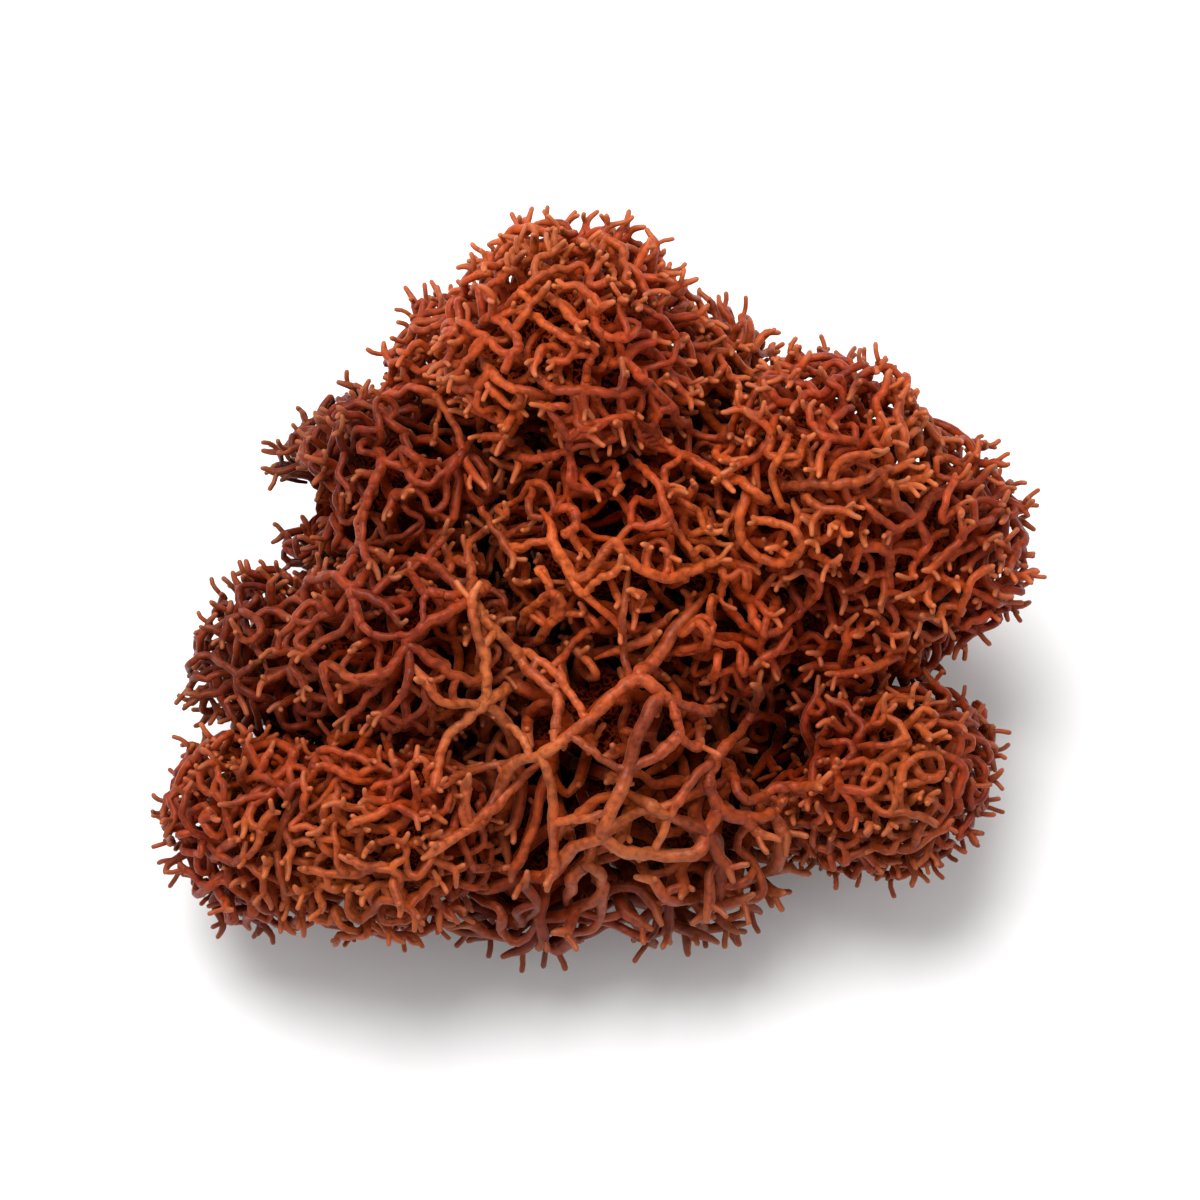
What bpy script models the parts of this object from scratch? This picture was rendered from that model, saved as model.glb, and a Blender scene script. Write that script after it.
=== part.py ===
"""A clump of dyed reindeer moss: one solid for each head of the tangle.

Lengths are millimetres until a mesh is made. X runs across the clump, Y from its near side to its far
side, and Z up from the surface that it lies on.
"""

import math

import bmesh
import bpy
import numpy as np
from mathutils import Matrix

MM = 0.001
SEED = 7

# Each head has a name, an sRGB colour and its crowns, each crown as x, y, z and radius. The first leads.
HEADS = (
    ("head_back", (170, 62, 34), ((-1.0, 15.2, 28.6, 9.2), (-8.5, 14.0, 20.0, 7.8), (7.5, 13.5, 19.5, 7.8))),
    ("head_right", (176, 66, 36), ((18.0, 6.6, 24.0, 8.8), (25.0, 3.2, 19.0, 8.0), (20.5, -2.5, 15.0, 7.6))),
    ("head_middle", (150, 52, 30), ((2.0, 2.8, 22.5, 9.2), (9.0, -1.5, 19.0, 8.0))),
    ("head_left_back", (140, 48, 28), ((-13.0, 7.0, 20.0, 8.6), (-15.5, 8.5, 12.5, 8.2))),
    ("head_left", (156, 58, 38), ((-13.5, -5.2, 19.5, 9.0), (-21.5, -6.0, 14.0, 8.0))),
    ("head_front_left", (172, 64, 36), ((-14.5, -16.8, 14.5, 8.8), (-23.0, -16.0, 12.5, 8.2))),
    ("stems_front", (160, 66, 48), ((1.5, -11.5, 14.5, 10.4), (-3.5, -17, 10.5, 8.4), (7.5, -16, 10.5, 8.4))),
    ("head_front_right", (178, 82, 40), ((22.0, -12.0, 12.5, 8.2), (15.0, -11.5, 9.5, 7.4))),
)
OPEN_HEAD = "stems_front"
ROUGHNESS = 0.85
CENTRE = (1.175, -0.235)

# A stalk runs from each crown down and inwards to its foot.
FOOT_PULL = 0.64
FOOT_WIDTH = 0.62

# Small knobs stand on the upper part of a crown, from near its top to just under its middle.
KNOBS = 9
KNOB_TOP = 0.96
KNOB_DROP = 1.15
KNOB_OUT = 0.62
KNOB_SIZE = 0.48
GOLDEN_ANGLE = math.pi * (3 - math.sqrt(5))

# The solid core of a head is a smaller copy of its outer form, found by rays from its first stalk.
CORE_SCALE = 0.84
OPEN_CORE_SCALE = 0.72
CORE_ROUGHNESS = 0.05
HEAD_GAP = 0.36
AROUND = 14
STALK_RINGS = 5
CROWN_RINGS = 5
RAY_LENGTH = 24.0
RAY_STEPS = 241

# A branchlet is a short stem with three sides that ends in a star of three pointed arms.
ROOT_DEPTH = 1.4
STEM_LENGTH = 1.7
STEM_RADIUS = 0.75
KNEE_RADIUS = 0.95
SADDLE_HEIGHT = 0.5
ARM_LENGTH = 3.6
ARM_RADIUS = 0.6
ARM_SPREAD = math.radians(50)
BRANCHLET_SPACING = 2.75
BRANCHLET_CANDIDATES = 6000
LEAN = 0.30
LIFT = 0.25
LENGTH_RANGE = (0.75, 1.3)
SPREAD_RANGE = (0.7, 1.3)
TWIST = 0.3

# On the open head, long bare stems rise between the branchlets, arch over it and cross each other.
BARE_SPACING = 3.2
BARE_STEP = 4.0
BARE_BENDS = 3
BARE_RADIUS = 0.80
BARE_TAPER = 0.62
BARE_LEAN = 0.75
BARE_CURL = 0.50
BARE_DROOP = 0.30
BARE_RANGE = (0.85, 1.15)
SIDE_ARM = 3.2
SIDE_LEAN = 0.8
SIDE_ROOT = 0.3

# Each branchlet or stem is drawn several times, branchlets shorter each time, and the first draw that
# is free is grown. Balls along it tell how near it comes to the others, to the cores and to the ground.
SHRINKS = (1.0, 0.8, 0.6, 0.45)
TRIES = 6
BARE_TRIES = 30
BALLS = 4
CLEAR = 0.36
NEAR = 12.0
ROOM_TO_GROW = 1.5
OUTER_REACH = 3.0
FLOOR_CLEARANCE = 0.9


def linear(colour):
    """An sRGB colour of 0 to 255 as linear values with alpha."""
    return tuple((c / 255) ** 2.2 for c in colour) + (1.0,)


def unit(vectors):
    return vectors / np.linalg.norm(vectors, axis=-1, keepdims=True)


def knob_directions():
    """Directions spread evenly over the upper part of a ball by the golden angle."""
    steps = np.arange(KNOBS)
    height = KNOB_TOP - KNOB_DROP * steps / (KNOBS - 1)
    across = np.sqrt(1 - height**2)
    turn = steps * GOLDEN_ANGLE
    return np.stack([across * np.cos(turn), across * np.sin(turn), height], axis=1)


def foot_of(crown):
    """The stalk's lower end, nearer the middle of the clump than its crown."""
    return np.array([crown[0] * FOOT_PULL, crown[1] * FOOT_PULL, 0.0])


def limb_distance(points, crown, scale):
    """How far each point is outside one limb, a stalk that widens into a knobbly crown."""
    top = np.array(crown[:3])
    foot = foot_of(crown)
    axis = top - foot
    along = np.clip((points - foot) @ axis / (axis @ axis), 0, 1)
    radius = crown[3] * scale * (FOOT_WIDTH + (1 - FOOT_WIDTH) * along**2)
    nearest = np.linalg.norm(points - (foot + along[..., None] * axis), axis=-1) - radius
    for direction in knob_directions():
        middle = top + direction * crown[3] * KNOB_OUT * scale
        knob = np.linalg.norm(points - middle, axis=-1) - crown[3] * KNOB_SIZE * scale
        nearest = np.minimum(nearest, knob)
    return nearest


def head_distance(points, crowns, scale=1.0):
    return np.min([limb_distance(points, crown, scale) for crown in crowns], axis=0)


def core_scale(name):
    return OPEN_CORE_SCALE if name == OPEN_HEAD else CORE_SCALE


def outside_cores(points):
    """For each head, how far each point is outside its core, which ends where another form is nearer."""
    forms = np.array([head_distance(points, crowns) for _, _, crowns in HEADS])
    cores = []
    for index, (name, _, crowns) in enumerate(HEADS):
        nearest_other = np.min(np.delete(forms, index, axis=0), axis=0)
        into_own_cell = nearest_other - forms[index] - HEAD_GAP
        cores.append(np.maximum(head_distance(points, crowns, core_scale(name)), -into_own_cell))
    return np.array(cores)


def core_points(crowns, index, rng):
    """Rings of points on the core: level rays from the stalk, then rays that fan up from the first crown."""
    top = np.array(crowns[0][:3])
    foot = foot_of(crowns[0])
    turn = np.linspace(0, 2 * math.pi, AROUND, endpoint=False)
    level = np.stack([np.cos(turn), np.sin(turn), 0 * turn], axis=1)
    origins = [top[None]]
    directions = [np.array([[0, 0, 1.0]])]
    for step in range(STALK_RINGS):
        origins.append(np.tile(foot + (top - foot) * step / STALK_RINGS, (AROUND, 1)))
        directions.append(level)
    for step in range(CROWN_RINGS):
        rise = math.pi / 2 * step / CROWN_RINGS
        origins.append(np.tile(top, (AROUND, 1)))
        directions.append(level * math.cos(rise) + np.array([0, 0, math.sin(rise)]))
    origins = np.concatenate(origins)
    directions = np.concatenate(directions)
    reach = np.linspace(0, RAY_LENGTH, RAY_STEPS)
    along = origins[:, None, :] + reach[None, :, None] * directions[:, None, :]
    outside = outside_cores(along)[index]
    first = np.argmax(outside > 0, axis=1)
    rows = np.arange(len(first))
    before = outside[rows, first - 1]
    after = outside[rows, first]
    step_size = reach[1] - reach[0]
    distance = reach[first - 1] + step_size * before / (before - after)
    distance *= 1 - CORE_ROUGHNESS * rng.random(len(distance))
    return origins + distance[:, None] * directions


def core_faces():
    """Triangles of the ring grid, with a fan to the top point and another over the flat foot."""
    rings = STALK_RINGS + CROWN_RINGS
    faces = []
    for ring in range(rings - 1):
        for i in range(AROUND):
            j = (i + 1) % AROUND
            a, b = 1 + ring * AROUND + i, 1 + ring * AROUND + j
            c, d = a + AROUND, b + AROUND
            faces += [(a, b, d), (a, d, c)]
    last = 1 + (rings - 1) * AROUND
    faces += [(last + i, last + (i + 1) % AROUND, 0) for i in range(AROUND)]
    faces += [(1, i + 2, i + 1) for i in range(1, AROUND - 1)]
    return faces


def sample_surface(points, faces, count, rng):
    """Random places on the core, even by area, with the face's outward direction."""
    corners = points[np.array(faces)]
    cross = np.cross(corners[:, 1] - corners[:, 0], corners[:, 2] - corners[:, 0])
    area = np.linalg.norm(cross, axis=1)
    chosen = rng.choice(len(faces), count, p=area / area.sum())
    mix = rng.random((count, 2))
    over = mix.sum(axis=1) > 1
    mix[over] = 1 - mix[over]
    a, b, c = corners[chosen, 0], corners[chosen, 1], corners[chosen, 2]
    places = a + mix[:, :1] * (b - a) + mix[:, 1:] * (c - a)
    return places, unit(cross[chosen])


def spaced_out(places, spacing):
    """The indices of places kept in order, each at least the spacing from those before it."""
    kept = []
    for i, place in enumerate(places):
        if not kept or np.min(np.linalg.norm(places[kept] - place, axis=1)) > spacing:
            kept.append(i)
    return kept


def has_room(balls, index):
    """Which rows of balls keep clear of the ground and of the other cores, inside the outer form."""
    points, radii = balls[..., :3], balls[..., 3]
    other_cores = np.min(np.delete(outside_cores(points), index, axis=0), axis=0)
    good = (other_cores > CLEAR + radii) & (points[..., 2] > FLOOR_CLEARANCE + radii)
    good &= head_distance(points, HEADS[index][2]) < OUTER_REACH
    return np.all(good, axis=-1)


def first_free(rows, allowed, taken):
    """The first allowed row of balls that touches no ball already taken, or None."""
    reach = np.linalg.norm(taken[:, :3] - rows[0, 0, :3], axis=1)
    near = taken[reach < NEAR]
    for row in np.flatnonzero(allowed):
        balls = rows[row]
        apart = np.linalg.norm(balls[:, None, :3] - near[None, :, :3], axis=-1)
        if np.all(apart > CLEAR + balls[:, None, 3] + near[None, :, 3]):
            return row
    return None


def star_mesh(root, knee, tips, across, depth):
    """A branchlet: a stem of three sides whose three corners at the knee each start a pointed arm."""
    turn = np.arange(3) * 2 * math.pi / 3 - math.pi / 3
    ring = np.cos(turn)[:, None] * across + np.sin(turn)[:, None] * depth
    saddle = knee + SADDLE_HEIGHT * unit(knee - root)
    points = np.concatenate([root + STEM_RADIUS * ring, knee + KNEE_RADIUS * ring, [saddle], tips])
    faces = [(0, 2, 1)]
    for i in range(3):
        j = (i + 1) % 3
        faces += [(i, j, j + 3), (i, j + 3, i + 3)]
        faces += [(i + 3, j + 3, i + 7), (j + 3, 6, i + 7), (6, i + 3, i + 7)]
    return points, faces


def tube_mesh(path, radii):
    """A stem of three sides through a row of points, one radius for each but the last, a pointed tip."""
    path = np.asarray(path)
    heading = unit(path[-1] - path[0])
    side = unit(np.cross(heading, path[0]))
    turn = np.arange(3) * 2 * math.pi / 3
    ring = np.cos(turn)[:, None] * side + np.sin(turn)[:, None] * np.cross(heading, side)
    points = np.concatenate([path[k] + radii[k] * ring for k in range(len(radii))] + [path[-1:]])
    tip = len(points) - 1
    faces = [(0, 2, 1)]
    for k in range(len(radii) - 1):
        for i in range(3):
            a, b = 3 * k + i, 3 * k + (i + 1) % 3
            faces += [(a, b, b + 3), (a, b + 3, a + 3)]
    faces += [(tip - 3 + i, tip - 3 + (i + 1) % 3, tip) for i in range(3)]
    return points, faces


def balls_along(start, end, start_radius, end_radius):
    """Balls that fill a straight stretch, as x, y, z and radius, between two arrays of points."""
    share = np.linspace(0, 1, BALLS)[:, None]
    middles = start[..., None, :] + share * (end - start)[..., None, :]
    radii = start_radius + share * (end_radius - start_radius)
    return np.concatenate([middles, np.broadcast_to(radii, (*middles.shape[:-1], 1))], axis=-1)


def branchlets(places, normals, index, taken, rng):
    """Stars of three arms that stand out of the core, turned and then shortened until they are free."""
    shrink = np.repeat(SHRINKS, TRIES)[None, :, None]
    size = (len(places), shrink.size)
    place, normal = places[:, None], normals[:, None]
    direction = unit(normal + rng.normal(size=(*size, 3)) * LEAN + np.array([0, 0, LIFT]))
    across = unit(np.cross(direction, rng.normal(size=(*size, 3))))
    depth = np.cross(direction, across)
    knee = place + direction * STEM_LENGTH * shrink * rng.uniform(*LENGTH_RANGE, (*size, 1))
    spread = ARM_SPREAD * rng.uniform(*SPREAD_RANGE, (*size, 3, 1))
    turn = np.arange(3)[:, None] * 2 * math.pi / 3 + rng.uniform(-TWIST, TWIST, (*size, 3, 1))
    out = np.cos(turn) * across[..., None, :] + np.sin(turn) * depth[..., None, :]
    arm = np.cos(spread) * direction[..., None, :] + np.sin(spread) * out
    arm *= ARM_LENGTH * shrink[..., None] * rng.uniform(*LENGTH_RANGE, (*size, 3, 1))
    tips = knee[..., None, :] + arm
    stem_balls = balls_along(np.broadcast_to(place, knee.shape), knee, STEM_RADIUS, KNEE_RADIUS)
    arm_balls = balls_along(knee[..., None, :], tips, ARM_RADIUS, 0)
    balls = np.concatenate([stem_balls, arm_balls.reshape(*size, -1, 4)], axis=2)
    allowed = has_room(balls[:, :, BALLS:], index)
    shapes = []
    for i in range(len(places)):
        row = first_free(balls[i], allowed[i], taken)
        if row is not None:
            root = places[i] - normals[i] * ROOT_DEPTH
            shapes.append(star_mesh(root, knee[i, row], tips[i, row], across[i, row], depth[i, row]))
            taken = np.concatenate([taken, balls[i, row]])
    return shapes, taken


def bare_stems(places, normals, index, taken, rng):
    """Long stems that leave the core steeply and bend over along it, each with one side arm."""
    size = (len(places), BARE_TRIES)
    normal = np.broadcast_to(normals[:, None], (*size, 3))
    along = unit(np.cross(normal, rng.normal(size=(*size, 3))))
    heading = unit(normal + BARE_LEAN * along)
    path = [places[:, None] - normal * ROOT_DEPTH]
    for _ in range(BARE_BENDS):
        path.append(path[-1] + heading * BARE_STEP * rng.uniform(*BARE_RANGE, (*size, 1)))
        heading = unit(heading + BARE_CURL * along - BARE_DROOP * normal)
    side = rng.choice([-SIDE_LEAN, SIDE_LEAN], (*size, 1))
    aside = unit(normal + np.cross(along, normal) * side)
    arm = path[-2] + aside * SIDE_ARM
    runs = [balls_along(a, b, BARE_RADIUS, BARE_RADIUS) for a, b in zip(path[1:-1], path[2:])]
    balls = np.concatenate(runs + [balls_along(path[-2], arm, BARE_RADIUS, 0)], axis=2)
    allowed = has_room(balls, index)
    path = np.stack(path, axis=2)
    widths = BARE_RADIUS * np.linspace(1.0, BARE_TAPER, BARE_BENDS)
    shapes = []
    for i in range(len(places)):
        row = first_free(balls[i], allowed[i], taken)
        if row is not None:
            start = path[i, row, -2]
            shapes.append(tube_mesh(path[i, row], widths))
            root = start - aside[i, row] * SIDE_ROOT
            shapes.append(tube_mesh([root, arm[i, row]], widths[-1:]))
            taken = np.concatenate([taken, balls[i, row]])
    return shapes, taken


def add_object(name, points, faces, collection):
    mesh = bpy.data.meshes.new(name)
    mesh.from_pydata((points * MM).tolist(), [], faces)
    mesh.validate()
    item = bpy.data.objects.new(name, mesh)
    collection.objects.link(item)
    return item


def joined_mesh(core, collection, solver):
    """The core's mesh after one union with every object of the collection."""
    union = core.modifiers.new("join", "BOOLEAN")
    union.operation = "UNION"
    union.operand_type = "COLLECTION"
    union.collection = collection
    union.solver = solver
    evaluated = core.evaluated_get(bpy.context.evaluated_depsgraph_get())
    mesh = bpy.data.meshes.new_from_object(evaluated)
    core.modifiers.remove(union)
    return mesh


def largest_body(mesh):
    """The mesh's largest body as triangles, without loose scraps and sealed hollows."""
    body = bmesh.new()
    body.from_mesh(mesh)
    bmesh.ops.triangulate(body, faces=body.faces)
    waiting = set(body.faces)
    bodies = []
    while waiting:
        found = [waiting.pop()]
        for face in found:
            beside = {other for edge in face.edges for other in edge.link_faces} & waiting
            waiting -= beside
            found += beside
        bodies.append(found)
    bodies.sort(key=len)
    scraps = [face for found in bodies[:-1] for face in found]
    bmesh.ops.delete(body, geom=scraps, context="FACES")
    return body


def head_material(name, colour):
    material = bpy.data.materials.new(name)
    material.use_nodes = True
    shader = material.node_tree.nodes["Principled BSDF"]
    shader.inputs["Base Color"].default_value = linear(colour)
    shader.inputs["Roughness"].default_value = ROUGHNESS
    shader.inputs["Metallic"].default_value = 0.0
    material.diffuse_color = linear(colour)
    return material


def build_head(index, taken):
    """Adds one head, its core and branchlets fused to one body, and returns the balls taken so far."""
    name, colour, crowns = HEADS[index]
    rng = np.random.default_rng([SEED, index])
    points, faces = core_points(crowns, index, rng), core_faces()
    places, normals = sample_surface(points, faces, BRANCHLET_CANDIDATES, rng)
    other_cores = np.min(np.delete(outside_cores(places), index, axis=0), axis=0)
    roomy = (other_cores > ROOM_TO_GROW) & (places[:, 2] > FLOOR_CLEARANCE + STEM_RADIUS)
    places, normals = places[roomy], normals[roomy]
    shapes = []
    if name == OPEN_HEAD:
        kept = spaced_out(places[::-1], BARE_SPACING)
        shapes, taken = bare_stems(places[::-1][kept], normals[::-1][kept], index, taken, rng)
    kept = spaced_out(places, BRANCHLET_SPACING)
    stars, taken = branchlets(places[kept], normals[kept], index, taken, rng)
    scene_root = bpy.context.scene.collection
    repeats = bpy.data.collections.new(name + "_repeats")
    scene_root.children.link(repeats)
    for number, (corners, sides) in enumerate(shapes + stars):
        add_object(f"{name}_{number}", corners, sides, repeats)
    core = add_object(name + "_core", points, faces, scene_root)
    for solver in ("EXACT", "MANIFOLD"):
        body = largest_body(joined_mesh(core, repeats, solver))
        if all(edge.is_manifold for edge in body.edges):
            break
    for item in [*repeats.objects, core]:
        bpy.data.objects.remove(item)
    bpy.data.collections.remove(repeats)
    mesh = bpy.data.meshes.new(name)
    body.to_mesh(mesh)
    body.free()
    mesh.transform(Matrix.Translation((-CENTRE[0] * MM, -CENTRE[1] * MM, 0)))
    mesh.materials.append(head_material(name, colour))
    scene_root.objects.link(bpy.data.objects.new(name, mesh))
    return taken


for item in list(bpy.data.objects):
    bpy.data.objects.remove(item)
balls_taken = np.empty((0, 4))
for head_index in range(len(HEADS)):
    balls_taken = build_head(head_index, balls_taken)
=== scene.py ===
"""A clump of dyed reindeer moss, lying loose on a white floor."""

import math

import bpy
import numpy as np
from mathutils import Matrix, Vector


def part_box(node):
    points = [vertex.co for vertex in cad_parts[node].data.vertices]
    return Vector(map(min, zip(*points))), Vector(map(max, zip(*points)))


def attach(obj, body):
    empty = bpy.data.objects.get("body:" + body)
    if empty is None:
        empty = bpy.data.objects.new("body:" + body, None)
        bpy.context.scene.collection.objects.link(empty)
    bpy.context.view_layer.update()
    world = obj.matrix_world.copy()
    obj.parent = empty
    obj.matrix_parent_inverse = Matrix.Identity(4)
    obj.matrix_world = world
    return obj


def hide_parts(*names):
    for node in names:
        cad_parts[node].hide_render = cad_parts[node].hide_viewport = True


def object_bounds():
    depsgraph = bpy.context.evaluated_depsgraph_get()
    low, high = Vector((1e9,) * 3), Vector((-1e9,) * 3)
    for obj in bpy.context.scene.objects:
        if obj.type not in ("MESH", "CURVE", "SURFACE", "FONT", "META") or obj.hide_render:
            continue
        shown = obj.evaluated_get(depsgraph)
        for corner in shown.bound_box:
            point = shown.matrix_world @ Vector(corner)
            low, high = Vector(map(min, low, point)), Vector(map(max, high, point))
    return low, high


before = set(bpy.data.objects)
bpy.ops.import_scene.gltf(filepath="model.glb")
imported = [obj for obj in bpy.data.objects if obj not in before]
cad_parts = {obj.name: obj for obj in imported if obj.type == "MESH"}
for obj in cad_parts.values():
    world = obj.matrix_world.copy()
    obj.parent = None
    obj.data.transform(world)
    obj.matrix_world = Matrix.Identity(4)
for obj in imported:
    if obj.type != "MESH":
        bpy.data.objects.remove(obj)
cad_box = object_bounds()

# The form of the clump. Reindeer lichen grows as many separate plants, each a bunch of stalks that widens
# into a rounded, knobbly head. Eight heads have grown into each other here, each keeping its own space.
# Lengths are in millimetres until a mesh is filled, which puts CENTRE on the origin.
MM = 0.001
CENTRE = np.array([1.175, -0.235, 0.0])
# The place and the radius of each crown of each head.
CROWNS = {
    "head_back": ((-1.0, 15.2, 28.6, 9.2), (-8.5, 14.0, 20.0, 7.8), (7.5, 13.5, 19.5, 7.8)),
    "head_right": ((18.0, 6.6, 24.0, 8.8), (25.0, 3.2, 19.0, 8.0), (20.5, -2.5, 15.0, 7.6)),
    "head_middle": ((2.0, 2.8, 22.5, 9.2), (9.0, -1.5, 19.0, 8.0)),
    "head_left_back": ((-13.0, 7.0, 20.0, 8.6), (-15.5, 8.5, 12.5, 8.2)),
    "head_left": ((-13.5, -5.2, 19.5, 9.0), (-21.5, -6.0, 14.0, 8.0)),
    "head_front_left": ((-14.5, -16.8, 14.5, 8.8), (-23.0, -16.0, 12.5, 8.2)),
    "stems_front": ((1.5, -11.5, 14.5, 10.4), (-3.5, -17.0, 10.5, 8.4), (7.5, -16.0, 10.5, 8.4)),
    "head_front_right": ((22.0, -12.0, 12.5, 8.2), (15.0, -11.5, 9.5, 7.4)),
}
# A stalk's foot stands at FOOT_PULL of its crown's distance from the middle, and is FOOT_WIDTH as wide.
FOOT_PULL = 0.64
FOOT_WIDTH = 0.62
# The knobs on a crown: their number, how far the first one's direction rises and how far that drops by the
# last, and their distance out and radius in shares of the crown's radius.
KNOBS = 9
KNOB_TOP = 0.96
KNOB_DROP = 1.15
KNOB_OUT = 0.62
KNOB_SIZE = 0.48


def unit(vectors):
    """Each vector divided by its length."""
    return vectors / np.linalg.norm(vectors, axis=-1, keepdims=True)


def outside_crown(points, crown):
    """How far points are outside a crown: outside its stalk, whose radius at s of the way up is
    r (w + (1 - w) s^2), or outside the nearest of its knobs, whose directions drop in even steps and turn
    by the golden angle."""
    top = np.array(crown[:3])
    foot = top * [FOOT_PULL, FOOT_PULL, 0]
    axis = top - foot
    along = np.clip((points - foot) @ axis / (axis @ axis), 0, 1)
    radius = crown[3] * (FOOT_WIDTH + (1 - FOOT_WIDTH) * along**2)
    nearest = np.linalg.norm(points - (foot + along[..., None] * axis), axis=-1) - radius
    steps = np.arange(KNOBS)
    rise = KNOB_TOP - KNOB_DROP * steps / (KNOBS - 1)
    turn = steps * math.pi * (3 - math.sqrt(5))
    level = np.sqrt(1 - rise**2)
    for direction in np.stack([level * np.cos(turn), level * np.sin(turn), rise], axis=1):
        knob = np.linalg.norm(points - top - direction * crown[3] * KNOB_OUT, axis=-1)
        nearest = np.minimum(nearest, knob - crown[3] * KNOB_SIZE)
    return nearest


def outside_heads(points):
    """A row for each head: how far points are outside its form, which is the nearest of its crowns."""
    return np.array([
        np.min([outside_crown(points, crown) for crown in crowns], axis=0) for crowns in CROWNS.values()])


# The hollows of the surface, where the branches leave dark gaps. The camera looks down steeply, and across
# and up are a point's places in its picture, from the clump's middle. Hollows and single stems go by them.
ELEVATION = math.radians(72)
MIDDLE_HEIGHT = 19.0
TOWARDS_VIEW = np.array([0, -math.cos(ELEVATION), math.sin(ELEVATION)])
UP_VIEW = np.array([0, math.sin(ELEVATION), math.cos(ELEVATION)])
# Each hollow's places across and up, its radius and its depth.
HOLLOWS = (
    (-3.7, 11.5, 1.7, 4.0), (1.6, 5.2, 1.9, 4.0), (9.3, 13.0, 1.8, 3.2), (15.2, -12.6, 2.8, 3.6),
    (-21.5, 6.2, 2.6, 4.0), (19.6, 2.9, 1.2, 3.0), (22.2, 1.3, 1.2, 3.0), (-0.8, -14.6, 2.0, 3.0),
    (-11.6, 11.6, 1.5, 1.8), (14.4, 4.6, 1.6, 3.0), (-2.0, -3.4, 1.6, 3.0), (6.6, -1.0, 1.6, 3.0),
    (-10.2, -4.4, 1.6, 2.5), (-9.0, -12.6, 1.5, 2.5), (6.2, -13.6, 1.8, 3.0), (11.4, -1.8, 1.6, 2.5),
    (6.4, 20.6, 1.6, 1.8), (21.4, 12.6, 1.3, 2.5), (-3.3, -6.2, 1.4, 2.5), (-8.2, -0.4, 1.3, 2.2),
    (5.4, 6.6, 1.2, 2.2),
)


def in_picture(points):
    """How far points are across and up in the camera's picture."""
    return points[..., 0], (points - [0, 0, MIDDLE_HEIGHT]) @ UP_VIEW


def hollow_depth(points):
    """How deep the hollows sink the surface: the sum of depth e^(-(distance in the picture / radius)^4)."""
    across, up = in_picture(points)
    depth = np.zeros(across.shape)
    for x, y, radius, deepest in HOLLOWS:
        depth += deepest * np.exp(-(((across - x)**2 + (up - y)**2) / radius**2)**2)
    return depth


# The dense heads. Each is a bunch of hollow stalks that fork again and again, so that hundreds of curled
# branchlets under a millimetre thick end blunt over its surface. Only their tangle holds a head to the
# next. They are dyed rust red, and matt.
SEED = 11
# A laid stem is one that can be told apart. It comes up from DIVE under its place on the surface, unless it
# starts within MEET of an earlier one, and grows from that.
MEET = 0.9
DIVE = 1.6
DIVE_LENGTH = 0.9
# A line of sight is searched from SIGHT_NEAR to SIGHT_FAR. Where it misses the form, the stem passes GRAZE
# outside its nearest approach.
SIGHT_NEAR = 22
SIGHT_FAR = -16
SIGHT_STEPS = 300
GRAZE = 0.1


def bowed(a, b, c, d, s):
    """The curve (1 - s)^3 a + 3 (1 - s)^2 s b + 3 (1 - s) s^2 c + s^3 d, off towards b and in from c."""
    return (1 - s)**3 * a + 3 * (1 - s)**2 * s * b + 3 * (1 - s) * s**2 * c + s**3 * d


def stem_line(curve, lift, dive):
    """The points of the form's surface, raised by lift, that a curve in the picture covers. The curve is
    bowed between its places, with the tangent at each from the place before to the one after, and starts
    deeper by dive e^(-length / DIVE_LENGTH). Each point but the ends is then smoothed, as half of itself
    and a quarter of each neighbour."""
    places = np.array(curve, float)
    before = np.concatenate([2 * places[:1] - places[1:2], places[:-2]])
    after = np.concatenate([places[2:], 2 * places[-1:] - places[-2:-1]])
    s = np.array([0, 1 / 3, 2 / 3])[:, None]
    a, d = places[:-1, None], places[1:, None]
    path = bowed(a, a + (d - before[:, None]) / 6, d - (after[:, None] - a) / 6, d, s)
    path = np.concatenate([path.reshape(-1, 2), places[-1:]])
    run = np.cumsum(np.linalg.norm(path - np.roll(path, 1, axis=0), axis=1) * (np.arange(len(path)) > 0))
    base = path[:, :1] * [1, 0, 0] + path[:, 1:] * UP_VIEW + [0, 0, MIDDLE_HEIGHT]
    sight = np.linspace(SIGHT_NEAR, SIGHT_FAR, SIGHT_STEPS)
    outside = np.min(outside_heads(base[:, None] + sight[:, None] * TOWARDS_VIEW), axis=0)
    height = np.maximum(lift - dive * np.exp(-run / DIVE_LENGTH), outside.min(axis=1) + GRAZE)
    line = base + sight[np.argmax(outside < height[:, None], axis=1), None] * TOWARDS_VIEW
    line[1:-1] = 0.25 * line[:-2] + 0.5 * line[1:-1] + 0.25 * line[2:]
    return line


def laid_stems(curves, lift):
    """The lines of several curves. One that starts where an earlier one passes grows from it, and any
    other comes up out of the depth."""
    lines = []
    for curve in curves:
        gaps = [np.hypot(across - curve[0][0], up - curve[0][1]) for across, up in map(in_picture, lines)]
        met = any(gap.min() < MEET for gap in gaps)
        lines.append(stem_line(curve, lift, 0 if met else DIVE))
    return lines


# How deep the surface sinks where a head meets the next, and how wide that crease is.
CREASE = 2.8
CREASE_WIDTH = 1.3


def head_space(points, index):
    """How far points are outside a head's form, how far outside its surface as it sinks in the hollows
    and, by CREASE e^(-room / CREASE_WIDTH), near the next head, and their room to that head."""
    forms = outside_heads(points)
    room = np.min(np.delete(forms, index, axis=0), axis=0) - forms[index]
    crease = CREASE * np.exp(-np.maximum(room, 0) / CREASE_WIDTH)
    return forms[index], forms[index] + crease + hollow_depth(points), room


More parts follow.
